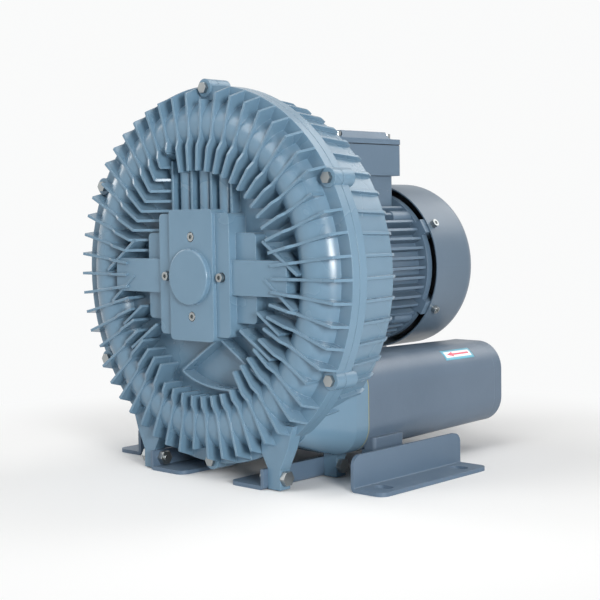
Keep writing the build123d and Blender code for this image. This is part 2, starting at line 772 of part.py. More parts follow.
with BuildPart() as main_housing:
    with BuildSketch(radial(90)):
        with BuildLine():
            trough_meet = chamber_back + shell_reach(skirt_inner_radius - channel_pitch_radius)
            back_meet = channel_pitch_radius - shell_reach(housing_wall_back - chamber_back)
            Polyline(
                (housing_wall_back, back_meet),
                (housing_wall_back, 0),
                (0, 0),
                (0, joint_flange_radius),
                (housing_flange, joint_flange_radius),
                (housing_flange, barrel_front_radius),
                (barrel_back_station, barrel_back_radius),
                (barrel_back_station, skirt_inner_radius),
                (trough_meet, skirt_inner_radius),
            )
            ThreePointArc(
                (trough_meet, skirt_inner_radius),
                (housing_crest, channel_pitch_radius),
                (housing_wall_back, back_meet),
            )
        make_face()
    revolve(axis=shaft_axis)
    # ribs along the barrel and across its back
    for index in range(fin_count):
        with BuildSketch(radial(index * fin_pitch)):
            with BuildLine():
                Polyline(
                    (housing_flange - 2, chamber_radius + 5),
                    (housing_flange - 2, barrel_rib_front_radius),
                    (rear_fin_station, barrel_rib_radius),
                    (barrel_back_station + 1, barrel_back_radius + 2),
                    (barrel_back_station - 1, skirt_inner_radius + 2),
                    close=True,
                )
            make_face()
            with BuildLine():
                Polyline(
                    (housing_wall_back - 2, motor_ring_outer - 2),
                    (housing_wall_back + 12, motor_ring_outer - 2),
                    (rear_fin_station, channel_pitch_radius - channel_radius - 20),
                    (rear_fin_station, skirt_inner_radius + 2),
                    (housing_wall_back - 2, skirt_inner_radius + 2),
                    close=True,
                )
            make_face()
    extrude(amount=fin_thickness / 2, both=True)
    # motor mounting ring
    turned(housing_wall_back - 2, frame_station - housing_wall_back + 2, motor_ring_outer, motor_ring_inner)
    # screw lugs
    with BuildSketch(across(0)):
        with Locations(*lug_places):
            Circle(lug_radius)
    extrude(amount=-housing_lug_depth)
    # ducts that grow out of the barrel into the square port faces
    for side in sides.values():
        with BuildSketch(across(duct_start_station)):
            with Locations((side * duct_start_x, -duct_start_drop)):
                RectangleRounded(2 * duct_start_half, 2 * duct_start_half, duct_start_corner)
        with BuildSketch(across(duct_full_station)):
            with Locations((side * silencer_x, -silencer_drop)):
                RectangleRounded(2 * silencer_half, 2 * silencer_half, silencer_corner)
        loft()
        with BuildSketch(across(duct_full_station)):
            with Locations((side * silencer_x, -silencer_drop)):
                RectangleRounded(2 * silencer_half, 2 * silencer_half, silencer_corner)
        extrude(amount=-(port_face_station - duct_full_station))
        with BuildSketch(across(front_foot_bolt_stations[1] - leg_thickness / 2)):
            with BuildLine():
                Polyline(*leg_outline(side, housing_leg_top), close=True)
            make_face()
        extrude(amount=-leg_thickness)
    # impeller chamber and rear side channel
    turned(0, chamber_back, chamber_radius, mode=Mode.SUBTRACT)
    with BuildSketch(radial(channel_start)):
        with Locations((chamber_back, channel_pitch_radius)):
            Circle(channel_radius)
    revolve(axis=shaft_axis, revolution_arc=channel_sweep, mode=Mode.SUBTRACT)
    # ports, shaft opening, seal seat and threads
    for side in sides.values():
        port_centre = (side * silencer_x, -silencer_drop)
        drilled(chamber_back, port_face_station - chamber_back, duct_radius, [port_centre])
        drilled(
            port_face_station - tie_rod_grip - 1,
            tie_rod_grip + 1,
            tie_rod_size / 2 + thread_clearance,
            [(port_centre[0] + x, port_centre[1] + z) for x, z in rod_places],
        )
        with BuildSketch(foot_bolt_seat(side, front_foot_bolt_stations[1])):
            Circle(foot_bolt_size / 2 + bolt_clearance)
        extrude(amount=-foot_bolt_grip, mode=Mode.SUBTRACT)
    turned(chamber_back, housing_wall_back - chamber_back, shoulder_radius + 4, mode=Mode.SUBTRACT)
    turned(
        chamber_back,
        impeller_back_station + impeller_gap - chamber_back,
        impeller_hub_radius + impeller_hub_gap,
        mode=Mode.SUBTRACT,
    )
    turned(
        rear_seal_station,
        housing_wall_back - rear_seal_station,
        rear_seal_radius + slide_clearance,
        mode=Mode.SUBTRACT,
    )
    drilled(0, housing_lug_depth - 1, cover_screw_size / 2 + thread_clearance, lug_places)
    drilled(
        frame_station - motor_bolt_grip - 1,
        motor_bolt_grip + 1,
        motor_bolt_size / 2 + thread_clearance,
        motor_bolt_places,
    )
save(main_housing, "main_housing")

with BuildPart() as rear_shaft_seal:
    turned(rear_seal_station, seal_width, rear_seal_radius, shoulder_radius + running_clearance)
save(rear_shaft_seal, "rear_shaft_seal")

# ---------------------------------------------------------------- motor
frame_fin_pitch = 360 / frame_fin_count
shield_bolt_places = [polar(shield_bolt_circle, angle) for angle in (45, 135, 225, 315)]

with BuildPart() as motor_frame:
    turned(frame_station, frame_end_station - frame_station, frame_bore_radius + frame_wall)
    turned(frame_station, frame_flange, motor_ring_outer)
    fin_length = frame_fin_end - frame_fin_start
    with BuildSketch(across(frame_fin_start)):
        for index in range(frame_fin_count):
            fin_angle = index * frame_fin_pitch
            if abs((fin_angle - 90 + 180) % 360 - 180) > pad_half_angle:
                with Locations(Location((*polar(frame_fin_middle, fin_angle), 0), (0, 0, fin_angle))):
                    Rectangle(frame_fin_radius - frame_bore_radius - frame_wall + 2, frame_fin_thickness)
    extrude(amount=-fin_length)
    # pad under the terminal box and bosses for the end shield screws
    with BuildSketch(level(shaft_height + frame_bore_radius - pad_sink)):
        with Locations((0, box_station)):
            RectangleRounded(box_neck_width, box_neck_length, box_corner)
    extrude(amount=frame_pad_top - frame_bore_radius + pad_sink)
    with BuildSketch(across(frame_end_station)):
        with Locations(*shield_bolt_places):
            Circle(shield_boss_radius)
    extrude(amount=shield_boss_length)
    turned(frame_station, frame_end_station - frame_station, frame_bore_radius, mode=Mode.SUBTRACT)
    drilled(frame_station, frame_flange, motor_bolt_size / 2 + bolt_clearance, motor_bolt_places)
    drilled(
        frame_end_station - shield_bolt_grip - 1,
        shield_bolt_grip + 1,
        shield_bolt_size / 2 + thread_clearance,
        shield_bolt_places,
    )
    # lead opening and box screw threads in the pad
    with BuildSketch(level(shaft_height + frame_pad_top)):
        with Locations((0, box_station)):
            Rectangle(lead_opening, lead_opening)
    extrude(amount=-(frame_pad_top - frame_bore_radius + pad_sink), mode=Mode.SUBTRACT)
    with BuildSketch(level(shaft_height + frame_pad_top)):
        with Locations((0, box_station)):
            with GridLocations(2 * box_screw_x, 2 * box_screw_y, 2, 2):
                Circle(box_screw_size / 2 + thread_clearance)
    extrude(amount=-box_screw_grip - 1, mode=Mode.SUBTRACT)
save(motor_frame, "motor_frame")

with BuildPart() as motor_bolts:
    for x, z in motor_bolt_places:
        hex_screw(spot(facing_back(frame_station + frame_flange), -x, z), motor_bolt_size,
                  frame_flange + motor_bolt_grip)
save(motor_bolts, "motor_bolts")

with BuildPart() as stator_core:
    turned(rotor_start_station, rotor_length, frame_bore_radius - slide_clearance, stator_inner_radius)
    with BuildSketch(across(rotor_start_station)):
        with PolarLocations(stator_inner_radius, stator_slot_count):
            Rectangle(2 * stator_slot_depth, stator_slot_width)
    extrude(amount=-rotor_length, mode=Mode.SUBTRACT)
save(stator_core, "stator_core")

with BuildPart() as stator_windings:
    for start in (rotor_start_station - winding_overhang, rotor_end_station):
        turned(start, winding_overhang, winding_outer_radius, winding_inner_radius)
    with BuildSketch(across(rotor_start_station)):
        with PolarLocations(winding_bar_radius + winding_bar / 2, stator_slot_count):
            Rectangle(winding_bar, stator_slot_width - 2 * slide_clearance)
    extrude(amount=-rotor_length)
    fillet(stator_windings.edges().filter_by(GeomType.CIRCLE).group_by(Axis.Y)[0], winding_round)
    fillet(stator_windings.edges().filter_by(GeomType.CIRCLE).group_by(Axis.Y)[-1], winding_round)
save(stator_windings, "stator_windings")

with BuildPart() as rotor_core:
    turned(
        rotor_start_station,
        rotor_length,
        stator_inner_radius - rotor_air_gap,
        rotor_seat_radius + slide_clearance,
    )
save(rotor_core, "rotor_core")

with BuildPart() as rotor_end_rings:
    for start in (rotor_start_station - end_ring_length, rotor_end_station):
        turned(start, end_ring_length, stator_inner_radius - 2, end_ring_inner)
save(rotor_end_rings, "rotor_end_rings")

with BuildPart() as rear_end_shield:
    turned(frame_end_station, shield_plate, shield_radius, bearing_seat_radius - 4)
    turned(frame_end_station - shield_spigot, shield_spigot + 1, frame_bore_radius - slide_clearance,
           frame_bore_radius - 6)
    turned(rear_bearing_station - 1, bearing_width + 4, bearing_seat_radius + 7, bearing_seat_radius - 4)
    with BuildSketch(across(frame_end_station)):
        for angle in cowl_screw_angles:
            lug_middle = polar((cowl_lug_inner + cowl_lug_outer) / 2, angle)
            with Locations(Location((*lug_middle, 0), (0, 0, angle))):
                Rectangle(cowl_lug_outer - cowl_lug_inner, cowl_lug_width)
    extrude(amount=-cowl_lug_length)
    turned(rear_bearing_station - 1, bearing_width + 1, bearing_seat_radius, mode=Mode.SUBTRACT)
    drilled(frame_end_station, shield_plate, shield_bolt_size / 2 + bolt_clearance / 2, shield_bolt_places)
    for angle in cowl_screw_angles:
        with BuildSketch(cowl_screw_seat(angle, cowl_radius)):
            Circle(cowl_screw_size / 2 + thread_clearance)
        extrude(amount=-cowl_screw_length - 1, mode=Mode.SUBTRACT)
save(rear_end_shield, "rear_end_shield")

with BuildPart() as end_shield_bolts:
    for x, z in shield_bolt_places:
        hex_screw(spot(facing_back(shield_back), -x, z), shield_bolt_size, shield_plate + shield_bolt_grip)
save(end_shield_bolts, "end_shield_bolts")

with BuildPart() as cooling_fan:
    turned(fan_hub_station, fan_hub_end_station - fan_hub_station, fan_hub_radius,
           fan_seat_radius + slide_clearance)
    turned(fan_station, fan_disc, fan_radius, fan_hub_radius - 1)
    with BuildSketch(across(fan_station)):
        with PolarLocations((fan_hub_radius + fan_radius) / 2, fan_blade_count):
            Rectangle(fan_radius - fan_hub_radius, fan_disc)
    extrude(amount=-fan_blade_depth)
save(cooling_fan, "cooling_fan")

with BuildPart() as fan_cowl:
    turned(cowl_front_station, cowl_back_station - cowl_front_station, cowl_radius)
    fillet(fan_cowl.edges().sort_by(Axis.Y)[-1], cowl_corner)
    offset(amount=-cowl_sheet, openings=fan_cowl.faces().sort_by(Axis.Y)[0])
    # ring slots of the air inlet, crossed by spokes
    with BuildSketch(across(cowl_back_station - cowl_sheet)):
        for index in reversed(range(grille_rings)):
            slot_inner = grille_inner + index * grille_pitch
            Circle(slot_inner + grille_slot)
            Circle(slot_inner, mode=Mode.SUBTRACT)
        for index in range(grille_spokes):
            with Locations(Location((0, 0, 0), (0, 0, index * 180 / grille_spokes))):
                Rectangle(2 * cowl_radius, grille_spoke, mode=Mode.SUBTRACT)
    extrude(amount=-cowl_sheet, mode=Mode.SUBTRACT)
    for angle in cowl_screw_angles:
        with BuildSketch(cowl_screw_seat(angle, cowl_radius)):
            Circle(cowl_screw_size / 2 + bolt_clearance / 2)
        extrude(amount=-2 * cowl_sheet, mode=Mode.SUBTRACT)
save(fan_cowl, "fan_cowl")

with BuildPart() as cowl_screws:
    for angle in cowl_screw_angles:
        cap_screw(cowl_screw_seat(angle, cowl_radius), cowl_screw_size, cowl_screw_length)
save(cowl_screws, "cowl_screws")

# ---------------------------------------------------------------- terminal box
box_middle = (0, box_station)

with BuildPart() as terminal_box_base:
    with BuildSketch(level(shaft_height + frame_pad_top)):
        with Locations(box_middle):
            RectangleRounded(box_neck_width, box_neck_length, box_corner)
    extrude(amount=box_floor - frame_pad_top)
    with BuildSketch(level(shaft_height + box_floor)):
        with Locations(box_middle):
            RectangleRounded(box_width, box_length, box_corner)
    extrude(amount=box_top - box_floor)
    with BuildSketch(level(shaft_height + box_floor + box_wall)):
        with Locations(box_middle):
            Rectangle(box_width - 2 * box_wall, box_length - 2 * box_wall)
            with GridLocations(2 * lid_screw_x, 2 * lid_screw_y, 2, 2):
                Circle(lid_post_radius, mode=Mode.SUBTRACT)
    extrude(amount=box_top, mode=Mode.SUBTRACT)
    with BuildSketch(level(shaft_height + frame_pad_top)):
        with Locations(box_middle):
            Rectangle(lead_opening, lead_opening)
            with GridLocations(2 * box_screw_x, 2 * box_screw_y, 2, 2):
                Circle(box_screw_size / 2 + bolt_clearance / 2)
    extrude(amount=box_top - frame_pad_top, mode=Mode.SUBTRACT)
    with BuildSketch(level(shaft_height + box_top)):
        with Locations(box_middle):
            with GridLocations(2 * lid_screw_x, 2 * lid_screw_y, 2, 2):
                Circle(lid_screw_size / 2 + thread_clearance)
    extrude(amount=-lid_screw_grip - 1, mode=Mode.SUBTRACT)
    for station in gland_stations:
        with BuildSketch(gland_seat(station)):
            Circle(gland_radius + thread_clearance)
        extrude(amount=-box_wall, mode=Mode.SUBTRACT)
save(terminal_box_base, "terminal_box_base")

with BuildPart() as terminal_box_gasket:
    with BuildSketch(level(shaft_height + box_top)):
        with Locations(box_middle):
            RectangleRounded(box_width - 1, box_length - 1, box_corner)
            Rectangle(box_width - 2 * box_wall, box_length - 2 * box_wall, mode=Mode.SUBTRACT)
            with GridLocations(2 * lid_screw_x, 2 * lid_screw_y, 2, 2):
                Circle(lid_post_radius)
                Circle(lid_screw_size / 2 + bolt_clearance / 2, mode=Mode.SUBTRACT)
    extrude(amount=lid_gasket)
save(terminal_box_gasket, "terminal_box_gasket")

with BuildPart() as terminal_box_lid:
    lid_bottom = box_top + lid_gasket
    with BuildSketch(level(shaft_height + lid_bottom)):
        with Locations(box_middle):
            RectangleRounded(box_width + 2, box_length + 2, lid_corner)
    extrude(amount=lid_rim)
    with BuildSketch(level(shaft_height + lid_bottom + lid_rim)):
        with Locations(box_middle):
            RectangleRounded(box_width + 2 - 2 * lid_ledge, box_length + 2 - 2 * lid_ledge, lid_corner)
    extrude(amount=box_lid_top - lid_bottom - lid_rim, taper=lid_slope)
    with BuildSketch(level(shaft_height + lid_bottom)):
        with Locations(box_middle):
            Rectangle(box_width - 2 * lid_hollow_margin, box_length - 2 * lid_hollow_margin)
            with GridLocations(2 * lid_screw_x, 2 * lid_screw_y, 2, 2):
                Circle(lid_post_radius, mode=Mode.SUBTRACT)
    extrude(amount=box_lid_top - lid_bottom - box_wall, mode=Mode.SUBTRACT)
    with BuildSketch(level(shaft_height + lid_bottom)):
        with Locations(box_middle):
            with GridLocations(2 * lid_screw_x, 2 * lid_screw_y, 2, 2):
                Circle(lid_screw_size / 2 + bolt_clearance / 2)
    extrude(amount=lid_screw_seat, mode=Mode.SUBTRACT)
    with BuildSketch(level(shaft_height + lid_bottom + lid_screw_seat)):
        with Locations(box_middle):
            with GridLocations(2 * lid_screw_x, 2 * lid_screw_y, 2, 2):
                Circle(lid_screw_size)
    extrude(amount=box_lid_top - lid_bottom, mode=Mode.SUBTRACT)
save(terminal_box_lid, "terminal_box_lid")

with BuildPart() as lid_screws:
    for x in (-lid_screw_x, lid_screw_x):
        for y in (-lid_screw_y, lid_screw_y):
            seat = spot(level(shaft_height + box_top + lid_gasket + lid_screw_seat), x, box_station + y)
            cap_screw(seat, lid_screw_size, lid_gasket + lid_screw_seat + lid_screw_grip)
save(lid_screws, "lid_screws")

with BuildPart() as box_screws:
    for x in (-box_screw_x, box_screw_x):
        for y in (-box_screw_y, box_screw_y):
            seat = spot(level(shaft_height + box_floor + box_wall), x, box_station + y)
            cap_screw(seat, box_screw_size, box_floor + box_wall - frame_pad_top + box_screw_grip)
save(box_screws, "box_screws")

with BuildPart() as terminal_board:
    with BuildSketch(level(shaft_height + box_floor + box_wall)):
        with Locations(box_middle):
            RectangleRounded(board_length, board_width, 2)
    extrude(amount=board_height)
    with BuildSketch(level(shaft_height + box_floor + box_wall + board_height)):
        with Locations(box_middle):
            with GridLocations(stud_pitch, stud_pitch, 3, 2):
                Circle(stud_radius + thread_clearance)
    extrude(amount=-stud_depth, mode=Mode.SUBTRACT)
save(terminal_board, "terminal_board")

with BuildPart() as terminal_studs:
    with BuildSketch(level(shaft_height + box_floor + box_wall + board_height - stud_depth)):
        with Locations(box_middle):
            with GridLocations(stud_pitch, stud_pitch, 3, 2):
                Circle(stud_radius)
    extrude(amount=stud_depth + stud_height)
    with BuildSketch(level(shaft_height + box_floor + box_wall + board_height)):
        with Locations(box_middle):
            with GridLocations(stud_pitch, stud_pitch, 3, 2):
                RegularPolygon(1.6 * stud_radius, 6, major_radius=False)
    extrude(amount=stud_radius)
save(terminal_studs, "terminal_studs")

with BuildPart() as cable_gland_body:
    with BuildSketch(gland_seat(gland_stations[0])):
        Circle(gland_radius)
    extrude(amount=-box_wall - 4)
    with BuildSketch(gland_seat(gland_stations[0])):
        RegularPolygon(gland_hex / 2, 6, major_radius=False)
    extrude(amount=gland_flange)
    with BuildSketch(gland_seat(gland_stations[0])):
        Circle(gland_radius)
    extrude(amount=gland_flange + gland_thread)
    with BuildSketch(gland_seat(gland_stations[0]).offset(-box_wall - 4)):
        Circle(gland_bore)
    extrude(amount=box_wall + 4 + gland_flange + gland_thread, mode=Mode.SUBTRACT)
save(cable_gland_body, "cable_gland_body")

with BuildPart() as cable_gland_nut:
    nut_start = gland_flange + 1
    with BuildSketch(gland_seat(gland_stations[0]).offset(nut_start)):
        RegularPolygon(gland_hex / 2, 6, major_radius=False)
    extrude(amount=gland_thread)
    with BuildSketch(gland_seat(gland_stations[0]).offset(nut_start + gland_thread)):
        Circle(gland_hex / 2 - 1)
    extrude(amount=gland_dome, taper=25)
    with BuildSketch(gland_seat(gland_stations[0]).offset(nut_start)):
        Circle(gland_radius + thread_clearance)
    extrude(amount=gland_thread, mode=Mode.SUBTRACT)
    with BuildSketch(gland_seat(gland_stations[0]).offset(nut_start)):
        Circle(gland_bore)
    extrude(amount=gland_thread + gland_dome, mode=Mode.SUBTRACT)
save(cable_gland_nut, "cable_gland_nut")

with BuildPart() as blanking_plug:
    with BuildSketch(gland_seat(gland_stations[1])):
        Circle(gland_radius)
    extrude(amount=-box_wall - 2)
    with BuildSketch(gland_seat(gland_stations[1])):
        RegularPolygon(gland_hex / 2, 6, major_radius=False)
    extrude(amount=gland_flange - 2)
save(blanking_plug, "blanking_plug")

# ---------------------------------------------------------------- silencers
for name, side in sides.items():
    centre = (side * silencer_x, -silencer_drop)
    port_rods = [(centre[0] + x, centre[1] + z) for x, z in rod_places]

    with BuildPart() as silencer_gasket:
        with BuildSketch(across(port_face_station)):
            with Locations(centre):
                RectangleRounded(2 * silencer_half, 2 * silencer_half, silencer_corner)
                Circle(duct_radius, mode=Mode.SUBTRACT)
            with Locations(*port_rods):
                Circle(tie_rod_size / 2 + bolt_clearance, mode=Mode.SUBTRACT)
        extrude(amount=-port_gasket)
    save(silencer_gasket, f"silencer_gasket_{name}")

    with BuildPart() as silencer:
        tapered_box(
            silencer_station,
            silencer_end,
            centre,
            silencer_half,
            silencer_rear_half,
            silencer_corner,
        )
        # lug that stands on the tab of the rear foot
        with BuildSketch(level(rear_tab_top)):
            lug_x = side * (rear_tab_inner_x + silencer_lug_outer_x) / 2
            with Locations((lug_x, rear_foot_station)):
                RectangleRounded(silencer_lug_outer_x - rear_tab_inner_x, rear_tab_length, 4)
        extrude(amount=silencer_lug_height)
        tapered_box(
            silencer_station + silencer_front_wall,
            silencer_end,
            centre,
            silencer_half - silencer_wall,
            silencer_rear_half - silencer_wall,
            silencer_corner - silencer_wall,
            mode=Mode.SUBTRACT,
        )
        drilled(silencer_station, silencer_front_wall, tube_inner + tube_wall + slide_clearance, [centre])
        drilled(silencer_station, silencer_front_wall, tie_rod_size / 2 + bolt_clearance, port_rods)
        with BuildSketch(level(rear_tab_top)):
            with Locations(*[(side * rear_bolt_x, station) for station in rear_bolt_stations]):
                Circle(foot_bolt_size / 2 + thread_clearance)
        extrude(amount=rear_bolt_grip + 0.5, mode=Mode.SUBTRACT)
    save(silencer, f"silencer_{name}")

    with BuildPart() as silencer_tube:
        with BuildSketch(across(silencer_station + 0.2)):
            with Locations(centre):
                Circle(tube_inner + tube_wall)
                Circle(tube_inner, mode=Mode.SUBTRACT)
        extrude(amount=-(tube_end_station - silencer_station - 0.4))
    save(silencer_tube, f"silencer_tube_{name}")

    with BuildPart() as silencer_foam:
        foam_start = silencer_station + silencer_front_wall + seal_gap
        with BuildSketch(across(foam_start)):
            with Locations(centre):
                Circle(foam_radius)
                Circle(tube_inner + tube_wall + seal_gap, mode=Mode.SUBTRACT)
        extrude(amount=-(port_spigot_station - seal_gap - foam_start))
    save(silencer_foam, f"silencer_foam_{name}")

    with BuildPart() as port_flange:
        with BuildSketch(across(silencer_end)):
            with Locations(centre):
                RectangleRounded(2 * silencer_rear_half, 2 * silencer_rear_half, silencer_corner)
        extrude(amount=-port_plate)
        with BuildSketch(across(port_spigot_station)):
            with Locations(centre):
                Circle(port_spigot_radius)
        extrude(amount=-(port_back - port_spigot_station))
        drilled(port_back - port_thread_depth, port_thread_depth, port_thread_radius, [centre])
        drilled(
            port_spigot_station,
            port_back - port_spigot_station,
            tube_inner + tube_wall + slide_clearance,
            [centre],
        )
        drilled(silencer_end, port_plate, tie_rod_size / 2 + bolt_clearance, port_rods)
    save(port_flange, f"port_flange_{name}")

with BuildPart() as silencer_tie_rods:
    for side in sides.values():
        for x, z in rod_places:
            seat = spot(facing_back(port_back), -(side * silencer_x + x), z - silencer_drop)
            hex_screw(seat, tie_rod_size, port_back - port_face_station + tie_rod_grip)
save(silencer_tie_rods, "silencer_tie_rods")

# ---------------------------------------------------------------- feet
for name, side in sides.items():
    with BuildPart() as front_foot:
        foot_length = front_foot_end - front_foot_start
        with BuildSketch(across(front_foot_start)):
            with BuildLine():
                Polyline(
                    (side * front_foot_inner, -shaft_height),
                    (side * front_foot_outer, -shaft_height),
                    (side * front_foot_outer, front_foot_web - shaft_height),
                    (side * (front_foot_outer - foot_sheet), front_foot_web - shaft_height),
                    (side * (front_foot_outer - foot_sheet), foot_sheet - shaft_height),
                    (side * front_foot_inner, foot_sheet - shaft_height),
                    close=True,
                )
            make_face()
        extrude(amount=-foot_length)
        bends = front_foot.edges().filter_by(Axis.Y)
        outer_bend = bends.filter_by(lambda e: e.center().Z < 0.1).sort_by(lambda e: abs(e.center().X))[-1]
        fillet(outer_bend, foot_bend)
        corners = front_foot.edges().filter_by(Axis.Z).sort_by(lambda e: abs(e.center().X))[:2]
        fillet(corners, rear_foot_corner)
        with BuildSketch(level(foot_sheet)):
            with Locations((side * front_slot_x, front_slot_station)):
                SlotOverall(slot_length, slot_width)
        extrude(amount=-foot_sheet, mode=Mode.SUBTRACT)
        for station in front_foot_bolt_stations:
            with BuildSketch(foot_bolt_seat(side, station)):
                Circle(foot_bolt_size / 2 + bolt_clearance)
            extrude(amount=-foot_bolt_grip, mode=Mode.SUBTRACT)
    save(front_foot, f"front_foot_{name}")

    with BuildPart() as rear_foot:
        with BuildSketch(across(rear_foot_station - rear_foot_length / 2)):
            with BuildLine():
                Polyline(
                    (side * (rear_foot_web_x - foot_sheet), -shaft_height),
                    (side * rear_foot_edge_x, -shaft_height),
                    (side * rear_foot_edge_x, foot_sheet - shaft_height),
                    (side * rear_foot_web_x, foot_sheet - shaft_height),
                    (side * rear_foot_web_x, rear_foot_web - shaft_height),
                    (side * (rear_foot_web_x - foot_sheet), rear_foot_web - shaft_height),
                    close=True,
                )
            make_face()
        extrude(amount=-rear_foot_length)
        bends = rear_foot.edges().filter_by(Axis.Y)
        outer_bend = bends.filter_by(lambda e: e.center().Z < 0.1).sort_by(lambda e: abs(e.center().X))[0]
        inner_bend = bends.filter_by(lambda e: abs(e.center().Z - foot_sheet) < 0.1).sort_by(
            lambda e: abs(e.center().X))[0]
        fillet(outer_bend, foot_bend)
        fillet(inner_bend, foot_bend - foot_sheet)
        corners = rear_foot.edges().filter_by(Axis.Z).sort_by(lambda e: abs(e.center().X))[-2:]
        fillet(corners, rear_foot_corner)
        corners = rear_foot.edges().filter_by(Axis.X).sort_by(Axis.Z)[-2:]
        fillet(corners, rear_foot_corner)
        with BuildSketch(level(rear_tab_top)):
            with Locations((side * (rear_tab_inner_x + rear_foot_web_x - 1) / 2, rear_foot_station)):
                Rectangle(rear_foot_web_x - 1 - rear_tab_inner_x, rear_tab_length)
        extrude(amount=-foot_sheet)
        with BuildSketch(level(rear_tab_top)):
            with Locations(*[(side * rear_bolt_x, station) for station in rear_bolt_stations]):
                Circle(foot_bolt_size / 2 + bolt_clearance)
        extrude(amount=-foot_sheet, mode=Mode.SUBTRACT)
        with BuildSketch(level(foot_sheet)):
            with Locations((side * slot_x, rear_foot_station)):
                with GridLocations(slot_spacing, slot_spacing, 1, 2):
                    SlotOverall(slot_length, slot_width)
        extrude(amount=-foot_sheet, mode=Mode.SUBTRACT)
    save(rear_foot, f"rear_foot_{name}")

with BuildPart() as foot_bolts:
    for side in sides.values():
        for station in front_foot_bolt_stations:
            reach = foot_bolt_grip + nut_height[foot_bolt_size] + 2
            hex_screw(foot_bolt_seat(side, station), foot_bolt_size, reach)
        for station in rear_bolt_stations:
            seat = Plane(
                origin=(side * rear_bolt_x, joint_y + station, rear_tab_top - foot_sheet),
                x_dir=(1, 0, 0),
                z_dir=(0, 0, -1),
            )
            hex_screw(seat, foot_bolt_size, foot_sheet + rear_bolt_grip)
save(foot_bolts, "foot_bolts")

with BuildPart() as foot_nuts:
    for side in sides.values():
        for station in front_foot_bolt_stations:
            inner_x = side * (front_foot_outer - foot_sheet)
            seat = Plane(
                origin=(inner_x, joint_y + station, front_foot_bolt_height),
                x_dir=(0, 1, 0),
                z_dir=(-side, 0, 0),
            )
            hex_nut(seat, foot_bolt_size)
save(foot_nuts, "foot_nuts")
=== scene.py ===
from math import cos, radians, sin

import bmesh
import bpy
from mathutils import Matrix, Vector


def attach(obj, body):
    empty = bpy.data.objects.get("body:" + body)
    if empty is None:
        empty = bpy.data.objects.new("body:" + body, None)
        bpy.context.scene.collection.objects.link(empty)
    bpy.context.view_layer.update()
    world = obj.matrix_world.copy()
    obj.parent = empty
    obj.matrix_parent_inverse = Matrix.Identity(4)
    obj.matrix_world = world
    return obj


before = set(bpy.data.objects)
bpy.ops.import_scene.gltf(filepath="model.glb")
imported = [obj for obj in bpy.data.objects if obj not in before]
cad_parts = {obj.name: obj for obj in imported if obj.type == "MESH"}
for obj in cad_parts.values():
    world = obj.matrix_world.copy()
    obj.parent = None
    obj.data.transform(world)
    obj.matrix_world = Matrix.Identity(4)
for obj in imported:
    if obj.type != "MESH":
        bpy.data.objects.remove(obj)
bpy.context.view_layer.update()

# Metres, in the frame of the solids: +Z up, the pump cover faces -Y, the floor is z = 0.
# A "station" is a distance along the shaft, measured back from the joint face of the pump.
MM = 0.001
JOINT_Y = -109 * MM
SHAFT_HEIGHT = 203 * MM


def srgb(red, green, blue):
    """Colour written as 0-255 screen values, as the shader's linear colour."""
    channels = [value / 255 for value in (red, green, blue)]
    linear = [c / 12.92 if c <= 0.04045 else ((c + 0.055) / 1.055) ** 2.4 for c in channels]
    return (*linear, 1.0)


# Slow change of tone over a piece, in waves per metre.
TONE_SCALE = 9.0
# How much paler edges are painted than the paint beside them: a painted highlight along edges, partly thin
# paint wearing off there.
EDGE_SHEEN_AND_WEAR_GAIN, EDGE_SHEEN_AND_WEAR_LIFT = 1.5, 0.02
DUST_COLOUR = srgb(176, 186, 192)
PAINT_RELIEF, METAL_RELIEF, MOULDED_RELIEF = 0.6 * MM, 0.2 * MM, 0.4 * MM


# ---------------------------------------------------------------- shader tools
def add(tree, kind, inputs=None, **settings):
    """Shader node with its settings and its input values or links."""
    node = tree.nodes.new(kind)
    for name, value in settings.items():
        setattr(node, name, value)
    for socket, value in (inputs or {}).items():
        if isinstance(value, bpy.types.NodeSocket):
            tree.links.new(value, node.inputs[socket])
        else:
            node.inputs[socket].default_value = value
    return node


def effect_group(name, values=(), masks=(), normals=()):
    """Empty node group with named float inputs, and named outputs for masks and normals."""
    tree = bpy.data.node_groups.new(name, "ShaderNodeTree")
    for label, start in values:
        socket = tree.interface.new_socket(label, in_out="INPUT", socket_type="NodeSocketFloat")
        socket.default_value = start
    for label in masks:
        tree.interface.new_socket(label, in_out="OUTPUT", socket_type="NodeSocketFloat")
    for label in normals:
        tree.interface.new_socket(label, in_out="OUTPUT", socket_type="NodeSocketVector")
    entry = tree.nodes.new("NodeGroupInput")
    result = tree.nodes.new("NodeGroupOutput")
    return tree, entry, result


def object_noise(tree, scale, detail=2.0, roughness=0.5):
    """Noise in the object's own metres."""
    place = add(tree, "ShaderNodeTexCoord")
    return add(
        tree,
        "ShaderNodeTexNoise",
        {"Vector": place.outputs["Object"], "Scale": scale, "Detail": detail, "Roughness": roughness},
    )


def build_cast_skin():
    """Sand cast and sprayed surface: lumps of the mould, fine orange peel, and a slow change of tone."""
    tree, entry, result = effect_group(
        "cast_skin",
        values=(("Lump Scale", 60.0), ("Peel Scale", 900.0), ("Peel Share", 0.3)),
        masks=("Height", "Tone"),
    )
    lumps = object_noise(tree, entry.outputs["Lump Scale"], detail=3.0, roughness=0.6)
    peel = object_noise(tree, entry.outputs["Peel Scale"], detail=1.0)
    height = add(
        tree,
        "ShaderNodeMix",
        {"Factor": entry.outputs["Peel Share"], "A": lumps.outputs["Fac"], "B": peel.outputs["Fac"]},
    )
    slow = object_noise(tree, TONE_SCALE, detail=4.0, roughness=0.55)
    tone = add(
        tree,
        "ShaderNodeMapRange",
        {"Value": slow.outputs["Fac"], "From Min": 0.32, "From Max": 0.68},
    )
    tree.links.new(height.outputs[0], result.inputs["Height"])
    tree.links.new(tone.outputs["Result"], result.inputs["Tone"])
    return tree


